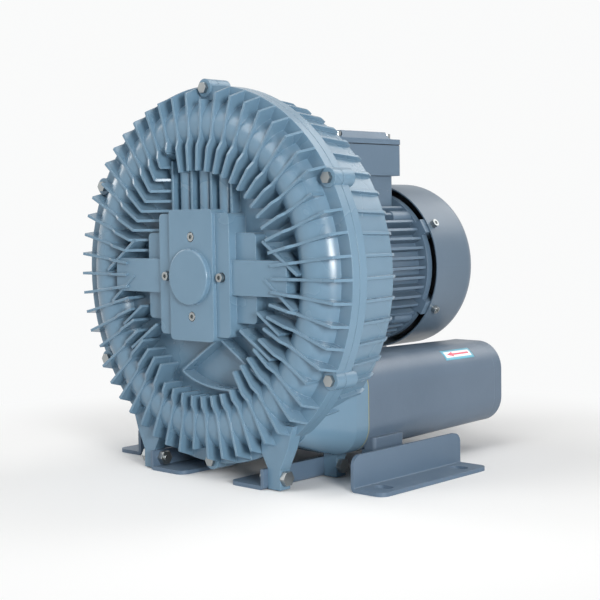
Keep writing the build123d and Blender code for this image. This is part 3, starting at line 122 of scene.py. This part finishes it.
def build_soft_edges():
    """Rounded edge normals, and a mask that is 1 along edges, where the paint gets a painted highlight and
    some thin-paint wear.
    """
    tree, entry, result = effect_group(
        "soft_edges",
        values=(("Radius", 0.0008), ("Sharpness", 6.0)),
        masks=("Edge",),
        normals=("Normal",),
    )
    rounded = add(tree, "ShaderNodeBevel", {"Radius": entry.outputs["Radius"]}, samples=4)
    flat = add(tree, "ShaderNodeNewGeometry")
    match = add(
        tree,
        "ShaderNodeVectorMath",
        {0: rounded.outputs["Normal"], 1: flat.outputs["Normal"]},
        operation="DOT_PRODUCT",
    )
    away = add(tree, "ShaderNodeMath", {0: 1.0, 1: match.outputs["Value"]}, operation="SUBTRACT")
    mask = add(
        tree,
        "ShaderNodeMath",
        {0: away.outputs[0], 1: entry.outputs["Sharpness"]},
        operation="MULTIPLY",
        use_clamp=True,
    )
    tree.links.new(rounded.outputs["Normal"], result.inputs["Normal"])
    tree.links.new(mask.outputs[0], result.inputs["Edge"])
    return tree


def build_settled_dust():
    """Thin dust that lies on upward faces, in patches."""
    tree, entry, result = effect_group(
        "settled_dust", values=(("Amount", 0.3), ("Patch Scale", 35.0)), masks=("Dust",)
    )
    shape = add(tree, "ShaderNodeNewGeometry")
    parts = add(tree, "ShaderNodeSeparateXYZ", {"Vector": shape.outputs["Normal"]})
    upward = add(
        tree, "ShaderNodeMapRange", {"Value": parts.outputs["Z"], "From Min": 0.35, "From Max": 1.0}
    )
    patches = object_noise(tree, entry.outputs["Patch Scale"], detail=4.0, roughness=0.6)
    spread = add(
        tree,
        "ShaderNodeMapRange",
        {"Value": patches.outputs["Fac"], "From Min": 0.35, "From Max": 0.7},
    )
    lying = add(
        tree,
        "ShaderNodeMath",
        {0: upward.outputs["Result"], 1: spread.outputs["Result"]},
        operation="MULTIPLY",
    )
    dust = add(
        tree,
        "ShaderNodeMath",
        {0: lying.outputs[0], 1: entry.outputs["Amount"]},
        operation="MULTIPLY",
        use_clamp=True,
    )
    tree.links.new(dust.outputs[0], result.inputs["Dust"])
    return tree


def build_rolled_grain():
    """Fine streaks along one direction, as on drawn bar, rolled sheet or turned faces."""
    tree, entry, result = effect_group(
        "rolled_grain",
        values=(("Across", 2500.0), ("Along", 60.0)),
        masks=("Streaks",),
    )
    place = add(tree, "ShaderNodeTexCoord")
    stretch = add(
        tree,
        "ShaderNodeCombineXYZ",
        {"X": entry.outputs["Across"], "Y": entry.outputs["Along"], "Z": entry.outputs["Across"]},
    )
    scaled = add(
        tree,
        "ShaderNodeVectorMath",
        {0: place.outputs["Object"], 1: stretch.outputs[0]},
        operation="MULTIPLY",
    )
    noise = add(
        tree,
        "ShaderNodeTexNoise",
        {"Vector": scaled.outputs[0], "Scale": 1.0, "Detail": 2.0},
    )
    tree.links.new(noise.outputs["Fac"], result.inputs["Streaks"])
    return tree


cast_skin = build_cast_skin()
soft_edges = build_soft_edges()
settled_dust = build_settled_dust()
rolled_grain = build_rolled_grain()


def use(tree, group, **values):
    """Places an effect group in a material; input names are written with underscores."""
    node = add(tree, "ShaderNodeGroup", node_tree=group)
    for name, value in values.items():
        node.inputs[name.replace("_", " ").title()].default_value = value
    return node


def fresh_material(name):
    material = bpy.data.materials.new(name)
    material.use_nodes = True
    tree = material.node_tree
    return material, tree, tree.nodes["Principled BSDF"]


def mixed(tree, mask, first, second):
    """Colour that goes from the first to the second where the mask is 1."""
    node = add(tree, "ShaderNodeMix", data_type="RGBA")
    for socket, value in (("Factor", mask), ("A", first), ("B", second)):
        plug = [s for s in node.inputs if s.name == socket and s.enabled][0]
        if isinstance(value, bpy.types.NodeSocket):
            tree.links.new(value, plug)
        else:
            plug.default_value = value
    return [s for s in node.outputs if s.enabled][0]


def carve(tree, shader, height, edges, strength, depth):
    """Fine relief on top of the rounded edges."""
    relief = add(
        tree,
        "ShaderNodeBump",
        {"Height": height, "Normal": edges.outputs["Normal"], "Strength": strength, "Distance": depth},
    )
    tree.links.new(relief.outputs["Normal"], shader.inputs["Normal"])


# ---------------------------------------------------------------- finishes
def blower_paint(name, colour, dark, roughness, lumps, peel, bump, edge_radius, edge_sheen_and_wear_gain=0.35, dust=0.12):
    """Semi-gloss machine paint over a casting or sheet."""
    material, tree, shader = fresh_material(name)
    skin = use(tree, cast_skin, lump_scale=lumps, peel_scale=peel)
    edges = use(tree, soft_edges, radius=edge_radius)
    grime = use(tree, settled_dust, amount=dust)
    body = mixed(tree, skin.outputs["Tone"], dark, colour)
    # Edges get a paler colour: a painted highlight along every edge, partly thin paint wearing off there.
    edge_sheen_and_wear_colour = tuple(min(1.0, channel * EDGE_SHEEN_AND_WEAR_GAIN + EDGE_SHEEN_AND_WEAR_LIFT) for channel in colour[:3]) + (1.0,)
    edge_sheen_and_wear_share = add(tree, "ShaderNodeMath", {0: edges.outputs["Edge"], 1: edge_sheen_and_wear_gain}, operation="MULTIPLY")
    sheen_and_wear = mixed(tree, edge_sheen_and_wear_share.outputs[0], body, edge_sheen_and_wear_colour)
    dusty = mixed(tree, grime.outputs["Dust"], sheen_and_wear, DUST_COLOUR)
    tree.links.new(dusty, shader.inputs["Base Color"])
    gloss = add(
        tree,
        "ShaderNodeMapRange",
        {"Value": skin.outputs["Tone"], "To Min": roughness + 0.05, "To Max": roughness - 0.04},
    )
    matt = add(
        tree,
        "ShaderNodeMath",
        {0: gloss.outputs["Result"], 1: grime.outputs["Dust"]},
        operation="ADD",
    )
    tree.links.new(matt.outputs[0], shader.inputs["Roughness"])
    carve(tree, shader, skin.outputs["Height"], edges, bump, PAINT_RELIEF)
    return material


def bare_metal(name, colour, dark, roughness, across=2500.0, along=60.0, bump=0.12, edge_radius=0.0004):
    """Metal with fine streaks, small changes of tone and bright rounded edges."""
    material, tree, shader = fresh_material(name)
    grain = use(tree, rolled_grain, across=across, along=along)
    edges = use(tree, soft_edges, radius=edge_radius)
    skin = use(tree, cast_skin, lump_scale=220.0)
    body = mixed(tree, skin.outputs["Tone"], dark, colour)
    tree.links.new(body, shader.inputs["Base Color"])
    shader.inputs["Metallic"].default_value = 1.0
    gloss = add(
        tree,
        "ShaderNodeMapRange",
        {"Value": grain.outputs["Streaks"], "To Min": roughness - 0.06, "To Max": roughness + 0.1},
    )
    tree.links.new(gloss.outputs["Result"], shader.inputs["Roughness"])
    carve(tree, shader, grain.outputs["Streaks"], edges, bump, METAL_RELIEF)
    return material


def moulded(name, colour, dark, roughness, grain_scale=700.0, bump=0.2, edge_radius=0.0005):
    """Plastic, rubber, fibre or foam: fine grain and a slow change of tone."""
    material, tree, shader = fresh_material(name)
    skin = use(tree, cast_skin, lump_scale=grain_scale, peel_scale=grain_scale * 3)
    edges = use(tree, soft_edges, radius=edge_radius)
    body = mixed(tree, skin.outputs["Tone"], dark, colour)
    tree.links.new(body, shader.inputs["Base Color"])
    gloss = add(
        tree,
        "ShaderNodeMapRange",
        {"Value": skin.outputs["Height"], "To Min": roughness - 0.06, "To Max": roughness + 0.08},
    )
    tree.links.new(gloss.outputs["Result"], shader.inputs["Roughness"])
    carve(tree, shader, skin.outputs["Height"], edges, bump, MOULDED_RELIEF)
    return material


def dress(material, *nodes):
    """Gives solids their finish."""
    for name in nodes:
        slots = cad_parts[name].data.materials
        slots.clear()
        slots.append(material)


casting_paint = blower_paint(
    "casting_paint", srgb(102, 131, 152), srgb(94, 123, 144), 0.25, 70.0, 1100.0, 0.32, 0.0009
)
silencer_paint = blower_paint(
    "silencer_paint", srgb(88, 105, 123), srgb(80, 97, 115), 0.36, 90.0, 1200.0, 0.28, 0.0010
)
motor_paint = blower_paint(
    "motor_paint", srgb(90, 111, 131), srgb(82, 103, 122), 0.36, 80.0, 1100.0, 0.35, 0.0008
)
cowl_paint = blower_paint(
    "cowl_paint", srgb(86, 104, 121), srgb(80, 98, 115), 0.34, 25.0, 1300.0, 0.12, 0.0006
)
foot_paint = blower_paint(
    "foot_paint", srgb(86, 106, 126), srgb(78, 98, 118), 0.42, 30.0, 1300.0, 0.14, 0.0006
)
zinc = bare_metal("zinc_plate", srgb(168, 172, 172), srgb(140, 145, 147), 0.30)
cast_aluminium = bare_metal("cast_aluminium", srgb(190, 193, 196), srgb(168, 171, 175), 0.42, 400.0, 400.0)
ground_steel = bare_metal("ground_steel", srgb(178, 180, 184), srgb(150, 153, 158), 0.26, 60.0, 4000.0)
bearing_steel = bare_metal(
    "bearing_steel", srgb(205, 207, 210), srgb(190, 192, 196), 0.14, 40.0, 3000.0, 0.05
)
core_steel = bare_metal("core_sheets", srgb(92, 94, 98), srgb(70, 72, 76), 0.5, 30.0, 2000.0, 0.5)
tube_steel = bare_metal("tube_sheet", srgb(170, 173, 175), srgb(140, 143, 146), 0.35)
brass = bare_metal("brass_studs", srgb(214, 178, 104), srgb(188, 150, 84), 0.3)
varnished_copper = moulded("varnished_copper", srgb(150, 78, 36), srgb(112, 52, 24), 0.32, 450.0, 0.5)
seal_rubber = moulded("seal_rubber", srgb(34, 34, 35), srgb(24, 24, 25), 0.62)
gasket_fibre = moulded("gasket_fibre", srgb(142, 146, 116), srgb(124, 128, 100), 0.75, 1500.0, 0.4)
foam = moulded("foam", srgb(74, 74, 78), srgb(50, 50, 54), 0.9, 900.0, 0.9)
black_plastic = moulded("black_plastic", srgb(42, 43, 46), srgb(34, 35, 38), 0.45)
fan_plastic = moulded("fan_plastic", srgb(58, 60, 64), srgb(46, 48, 52), 0.5)
board_plastic = moulded("board_plastic", srgb(122, 74, 52), srgb(100, 58, 40), 0.4)

dress(casting_paint, "front_cover", "main_housing")
dress(silencer_paint, "silencer_right", "silencer_left", "port_flange_right", "port_flange_left")
dress(motor_paint, "motor_frame", "rear_end_shield", "terminal_box_base", "terminal_box_lid")
dress(cowl_paint, "fan_cowl")
dress(foot_paint, "front_foot_right", "front_foot_left", "rear_foot_right", "rear_foot_left")
dress(
    zinc,
    "cover_screws",
    "hub_screws",
    "motor_bolts",
    "end_shield_bolts",
    "lid_screws",
    "box_screws",
    "cowl_screws",
    "silencer_tie_rods",
    "foot_bolts",
    "foot_nuts",
)
dress(cast_aluminium, "impeller", "rotor_end_rings", "bearing_retainer")
dress(
    ground_steel,
    "shaft",
    "impeller_key",
    "impeller_retaining_ring",
    "fan_retaining_ring",
    "wave_washer",
    "front_bearing_cage",
    "rear_bearing_cage",
)
for end in ("front", "rear"):
    dress(
        bearing_steel,
        f"{end}_bearing_outer_ring",
        f"{end}_bearing_inner_ring",
        f"{end}_bearing_balls",
    )
dress(core_steel, "stator_core", "rotor_core")
dress(varnished_copper, "stator_windings")
dress(seal_rubber, "front_shaft_seal", "rear_shaft_seal", "terminal_box_gasket")
dress(gasket_fibre, "cover_gasket", "silencer_gasket_right", "silencer_gasket_left")
dress(foam, "silencer_foam_right", "silencer_foam_left")
dress(tube_steel, "silencer_tube_right", "silencer_tube_left")
dress(black_plastic, "cable_gland_body", "cable_gland_nut", "blanking_plug")
dress(fan_plastic, "cooling_fan")
dress(board_plastic, "terminal_board")
dress(brass, "terminal_studs")

# ---------------------------------------------------------------- small cast ribs under the hub
RIB_FACE, RIB_FOOT = 22 * MM, 7 * MM
RIB_FOOT_WIDTH, RIB_FACE_WIDTH, RIB_EDGE = 3.4 * MM, 2.4 * MM, 0.6 * MM
RIB_APEX, RIB_LEFT, RIB_RIGHT = (24, -60), (-30, -95.5), (86, -101)
RIB_CURVE_PULL, RIB_CURVE_END = (-4, -113), (52, -110)
RIB_STEPS = 12


def curve_point(start, pull, end, share):
    """Point of a smooth curve from start to end that leans towards pull."""
    near, middle, far = (1 - share) ** 2, 2 * share * (1 - share), share**2
    return tuple(near * a + middle * b + far * c for a, b, c in zip(start, pull, end))


def build_rib(name, start, pull, end):
    """Tapered rib that stands on the cover's disc; its points are X and height from the shaft."""
    route = [Vector(curve_point(start, pull, end, i / RIB_STEPS)) * MM for i in range(RIB_STEPS + 1)]
    work = bmesh.new()
    rings = []
    for i, place in enumerate(route):
        way = (route[min(i + 1, RIB_STEPS)] - route[max(i - 1, 0)]).normalized()
        across = Vector((-way.y, way.x))
        ring = []
        for side, width, station in (
            (-1, RIB_FOOT_WIDTH, RIB_FOOT),
            (-1, RIB_FACE_WIDTH, RIB_FACE),
            (1, RIB_FACE_WIDTH, RIB_FACE),
            (1, RIB_FOOT_WIDTH, RIB_FOOT),
        ):
            spot = place + across * side * width / 2
            ring.append(work.verts.new((spot.x, JOINT_Y - station, SHAFT_HEIGHT + spot.y)))
        rings.append(ring)
    for near, far in zip(rings, rings[1:]):
        for i in range(4):
            work.faces.new((near[i], near[(i + 1) % 4], far[(i + 1) % 4], far[i]))
    work.faces.new(reversed(rings[0]))
    work.faces.new(rings[-1])
    bmesh.ops.recalc_face_normals(work, faces=work.faces)
    mesh = bpy.data.meshes.new(name)
    work.to_mesh(mesh)
    work.free()
    mesh.materials.append(casting_paint)
    rib = bpy.data.objects.new(name, mesh)
    bpy.context.scene.collection.objects.link(rib)
    edges = rib.modifiers.new("cast edges", "BEVEL")
    edges.width = RIB_EDGE
    edges.segments = 2
    edges.limit_method = "ANGLE"
    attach(rib, "frame")


def halfway(start, end):
    return tuple((a + b) / 2 for a, b in zip(start, end))


build_rib("recess_rib_left", RIB_APEX, halfway(RIB_APEX, RIB_LEFT), RIB_LEFT)
build_rib("recess_rib_right", RIB_APEX, halfway(RIB_APEX, RIB_RIGHT), RIB_RIGHT)
build_rib("recess_rib_curved", RIB_LEFT, RIB_CURVE_PULL, RIB_CURVE_END)

# ---------------------------------------------------------------- flow sign on the right silencer
SILENCER_X, SILENCER_HEIGHT = 80 * MM, 72 * MM
SILENCER_START, SILENCER_END = 81.2 * MM, 302.2 * MM
SILENCER_FRONT_HALF, SILENCER_REAR_HALF, SILENCER_CORNER = 48 * MM, 45 * MM, 30 * MM
SIGN_LENGTH, SIGN_WIDTH, SIGN_LIFT = 52 * MM, 14 * MM, 0.15 * MM
SIGN_STATION, SIGN_ANGLE = 245 * MM, 47
SIGN_STEPS_ALONG, SIGN_STEPS_ACROSS = 26, 10
# Shares of the sign's length from its front end, and of its width from its middle line.
ARROW_TIP, ARROW_HEAD_END, ARROW_HEAD_SLOPE = 0.12, 0.34, 1.15
ARROW_BAR_START, ARROW_BAR_END, ARROW_BAR_HALF = 0.3, 0.88, 0.09
SIGN_SCUFF_SCALE = 260.0


def silencer_skin(station, angle, lift):
    """Point over the upper outer corner of the right silencer; the angle runs up from +X."""
    share = (station - SILENCER_START) / (SILENCER_END - SILENCER_START)
    half = SILENCER_FRONT_HALF + share * (SILENCER_REAR_HALF - SILENCER_FRONT_HALF)
    reach = SILENCER_CORNER + lift
    return (
        SILENCER_X + half - SILENCER_CORNER + reach * cos(angle),
        JOINT_Y + station,
        SILENCER_HEIGHT + half - SILENCER_CORNER + reach * sin(angle),
    )


def build_sign_print():
    """Printed film: pale field, coloured border and a plain arrow that points to the pump cover."""
    tree, entry, result = effect_group(
        "sign_print", masks=("Border", "Arrow"), values=(("Margin", 0.22),)
    )
    place = add(tree, "ShaderNodeUVMap", uv_map="sign")
    parts = add(tree, "ShaderNodeSeparateXYZ", {"Vector": place.outputs["UV"]})
    along, across = parts.outputs["X"], parts.outputs["Y"]

    def reckon(first, second, operation="LESS_THAN"):
        return add(tree, "ShaderNodeMath", {0: first, 1: second}, operation=operation).outputs[0]

    def size_from(value, middle):
        shifted = add(tree, "ShaderNodeMath", {0: value, 1: middle}, operation="SUBTRACT")
        return add(tree, "ShaderNodeMath", {0: shifted.outputs[0]}, operation="ABSOLUTE").outputs[0]

    off_middle = size_from(across, 0.5)
    side_edge = reckon(off_middle, reckon(0.5, entry.outputs["Margin"], "SUBTRACT"), "GREATER_THAN")
    end_margin = reckon(entry.outputs["Margin"], SIGN_WIDTH / SIGN_LENGTH, "MULTIPLY")
    end_edge = reckon(size_from(along, 0.5), reckon(0.5, end_margin, "SUBTRACT"), "GREATER_THAN")
    border = reckon(side_edge, end_edge, "MAXIMUM")
    head_slope = reckon(reckon(along, ARROW_TIP, "SUBTRACT"), ARROW_HEAD_SLOPE, "MULTIPLY")
    in_head = reckon(reckon(off_middle, head_slope), reckon(along, ARROW_HEAD_END), "MULTIPLY")
    in_bar = reckon(
        reckon(off_middle, ARROW_BAR_HALF),
        reckon(
            reckon(along, ARROW_BAR_START, "GREATER_THAN"), reckon(along, ARROW_BAR_END), "MULTIPLY"
        ),
        "MULTIPLY",
    )
    arrow = reckon(in_head, in_bar, "MAXIMUM")
    tree.links.new(border, result.inputs["Border"])
    tree.links.new(arrow, result.inputs["Arrow"])
    return tree


def build_sign():
    """Thin film that follows the silencer's round corner."""
    half_turn = SIGN_WIDTH / 2 / SILENCER_CORNER
    work = bmesh.new()
    film = work.loops.layers.uv.new("sign")
    rows = []
    for i in range(SIGN_STEPS_ALONG + 1):
        along = i / SIGN_STEPS_ALONG
        station = SIGN_STATION + (along - 0.5) * SIGN_LENGTH
        row = []
        for j in range(SIGN_STEPS_ACROSS + 1):
            across = j / SIGN_STEPS_ACROSS
            angle = radians(SIGN_ANGLE) + (across - 0.5) * 2 * half_turn
            row.append((work.verts.new(silencer_skin(station, angle, SIGN_LIFT)), (along, across)))
        rows.append(row)
    for near, far in zip(rows, rows[1:]):
        for (a, uv_a), (b, uv_b), (c, uv_c), (d, uv_d) in zip(near, far, far[1:], near[1:]):
            face = work.faces.new((a, b, c, d))
            face.smooth = True
            for loop, uv in zip(face.loops, (uv_a, uv_b, uv_c, uv_d)):
                loop[film].uv = uv
    mesh = bpy.data.meshes.new("flow_sign")
    work.to_mesh(mesh)
    work.free()
    sign = bpy.data.objects.new("flow_sign", mesh)
    bpy.context.scene.collection.objects.link(sign)
    thickness = sign.modifiers.new("film", "SOLIDIFY")
    thickness.thickness = SIGN_LIFT
    thickness.offset = -1.0
    material, tree, shader = fresh_material("flow_sign")
    print_mask = use(tree, build_sign_print())
    scuffs = object_noise(tree, SIGN_SCUFF_SCALE, detail=4.0)
    field = mixed(tree, print_mask.outputs["Border"], srgb(226, 232, 236), srgb(96, 168, 190))
    inked = mixed(tree, print_mask.outputs["Arrow"], field, srgb(206, 66, 92))
    tree.links.new(inked, shader.inputs["Base Color"])
    gloss = add(tree, "ShaderNodeMapRange", {"Value": scuffs.outputs["Fac"], "To Min": 0.28, "To Max": 0.45})
    tree.links.new(gloss.outputs["Result"], shader.inputs["Roughness"])
    mesh.materials.append(material)
    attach(sign, "frame")


build_sign()

# ---------------------------------------------------------------- studio
FLOOR_REACH = 6.0
FLOOR_PAPER = 0.90
BACKDROP_WHITE = (0.955, 0.96, 0.96, 1.0)
ROOM_LIGHT = 0.20
ROOM_TINT, LAMP_TINT = (0.93, 0.96, 1.0, 1.0), (1.0, 0.99, 0.97)
FLOOR_FADE_START, FLOOR_FADE_END = 0.28, 0.62
BLOWER_MIDDLE = Vector((0.0, 0.0, 0.2))


def seen_directly(tree):
    """1 for rays of the camera, and for those that a shiny or clear surface sends on; else 0."""
    path = add(tree, "ShaderNodeLightPath")
    shiny = add(
        tree,
        "ShaderNodeMath",
        {0: path.outputs["Is Glossy Ray"], 1: path.outputs["Is Transmission Ray"]},
        operation="MAXIMUM",
    )
    either = add(
        tree,
        "ShaderNodeMath",
        {0: path.outputs["Is Camera Ray"], 1: shiny.outputs[0]},
        operation="MAXIMUM",
    )
    return either.outputs[0]


def build_floor():
    """Pale floor that keeps the shadow near the blower and fades to plain white further out."""
    mesh = bpy.data.meshes.new("studio_floor")
    corners = [(x * FLOOR_REACH, y * FLOOR_REACH, 0.0) for x, y in ((-1, -1), (1, -1), (1, 1), (-1, 1))]
    mesh.from_pydata(corners, [], [(0, 1, 2, 3)])
    floor = bpy.data.objects.new("studio_floor", mesh)
    bpy.context.scene.collection.objects.link(floor)
    material = bpy.data.materials.new("studio_white")
    material.use_nodes = True
    tree = material.node_tree
    tree.nodes.clear()
    place = add(tree, "ShaderNodeTexCoord")
    distance = add(tree, "ShaderNodeVectorMath", {0: place.outputs["Object"]}, operation="LENGTH")
    fade = add(
        tree,
        "ShaderNodeMapRange",
        {
            "Value": distance.outputs["Value"],
            "From Min": FLOOR_FADE_START,
            "From Max": FLOOR_FADE_END,
        },
        interpolation_type="SMOOTHSTEP",
    )
    paper = add(tree, "ShaderNodeBsdfDiffuse", {"Color": (*[FLOOR_PAPER] * 3, 1.0)})
    white = add(tree, "ShaderNodeEmission", {"Color": BACKDROP_WHITE, "Strength": 1.0})
    seen = add(
        tree,
        "ShaderNodeMath",
        {0: fade.outputs["Result"], 1: seen_directly(tree)},
        operation="MULTIPLY",
    )
    surface = add(
        tree, "ShaderNodeMixShader", {0: seen.outputs[0], 1: paper.outputs[0], 2: white.outputs[0]}
    )
    result = add(tree, "ShaderNodeOutputMaterial")
    tree.links.new(surface.outputs[0], result.inputs["Surface"])
    mesh.materials.append(material)


def build_world():
    """Soft even room light; the camera sees it as a white backdrop."""
    world = bpy.data.worlds.new("studio_world")
    bpy.context.scene.world = world
    world.use_nodes = True
    tree = world.node_tree
    tree.nodes.clear()
    room = add(tree, "ShaderNodeBackground", {"Color": ROOM_TINT, "Strength": ROOM_LIGHT})
    backdrop = add(tree, "ShaderNodeBackground", {"Color": BACKDROP_WHITE, "Strength": 1.0})
    choice = add(
        tree,
        "ShaderNodeMixShader",
        {0: seen_directly(tree), 1: room.outputs[0], 2: backdrop.outputs[0]},
    )
    result = add(tree, "ShaderNodeOutputWorld")
    tree.links.new(choice.outputs[0], result.inputs["Surface"])


def soft_box(name, azimuth, elevation, distance, size, power):
    """Square area lamp that points at the middle of the blower; its azimuth runs from -Y towards +X."""
    turn, lift = radians(azimuth), radians(elevation)
    way = Vector((sin(turn) * cos(lift), -cos(turn) * cos(lift), sin(lift)))
    lamp = bpy.data.lights.new(name, "AREA")
    lamp.size = size
    lamp.energy = power
    lamp.color = LAMP_TINT
    holder = bpy.data.objects.new(name, lamp)
    holder.location = BLOWER_MIDDLE + way * distance
    holder.rotation_euler = (-way).to_track_quat("-Z", "Y").to_euler()
    bpy.context.scene.collection.objects.link(holder)


build_floor()
build_world()
soft_box("window_light", azimuth=62, elevation=9, distance=2.2, size=0.6, power=44.0)
soft_box("key_light", azimuth=-24, elevation=36, distance=2.6, size=1.2, power=17.0)
soft_box("top_light", azimuth=20, elevation=74, distance=2.0, size=1.2, power=14.0)
soft_box("left_light", azimuth=-80, elevation=20, distance=2.6, size=1.2, power=18.0)
soft_box("back_light", azimuth=165, elevation=40, distance=2.6, size=1.6, power=20.0)

# ---------------------------------------------------------------- camera
AZIMUTH, ELEVATION, ROLL = 42.83, 3.80, 0.89
CAMERA_PLACE = Vector((0.9411, -1.0027, 0.2631))
FOCAL_SHARE = 1298 / 600
SENSOR_WIDTH = 36.0


def build_camera():
    """Camera that looks at the blower from the right of the pump cover."""
    azimuth, elevation = radians(AZIMUTH), radians(ELEVATION)
    ahead = Vector((-sin(azimuth) * cos(elevation), cos(azimuth) * cos(elevation), -sin(elevation)))
    right = Vector((cos(azimuth), sin(azimuth), 0.0))
    up = right.cross(ahead)
    data = bpy.data.cameras.new("camera")
    data.sensor_width = SENSOR_WIDTH
    data.lens = SENSOR_WIDTH * FOCAL_SHARE
    camera = bpy.data.objects.new("camera", data)
    turn = Matrix((right, up, -ahead)).transposed().to_4x4() @ Matrix.Rotation(radians(-ROLL), 4, "Z")
    camera.matrix_world = Matrix.Translation(CAMERA_PLACE) @ turn
    bpy.context.scene.collection.objects.link(camera)
    bpy.context.scene.camera = camera


build_camera()
bpy.context.scene.view_settings.view_transform = "Standard"
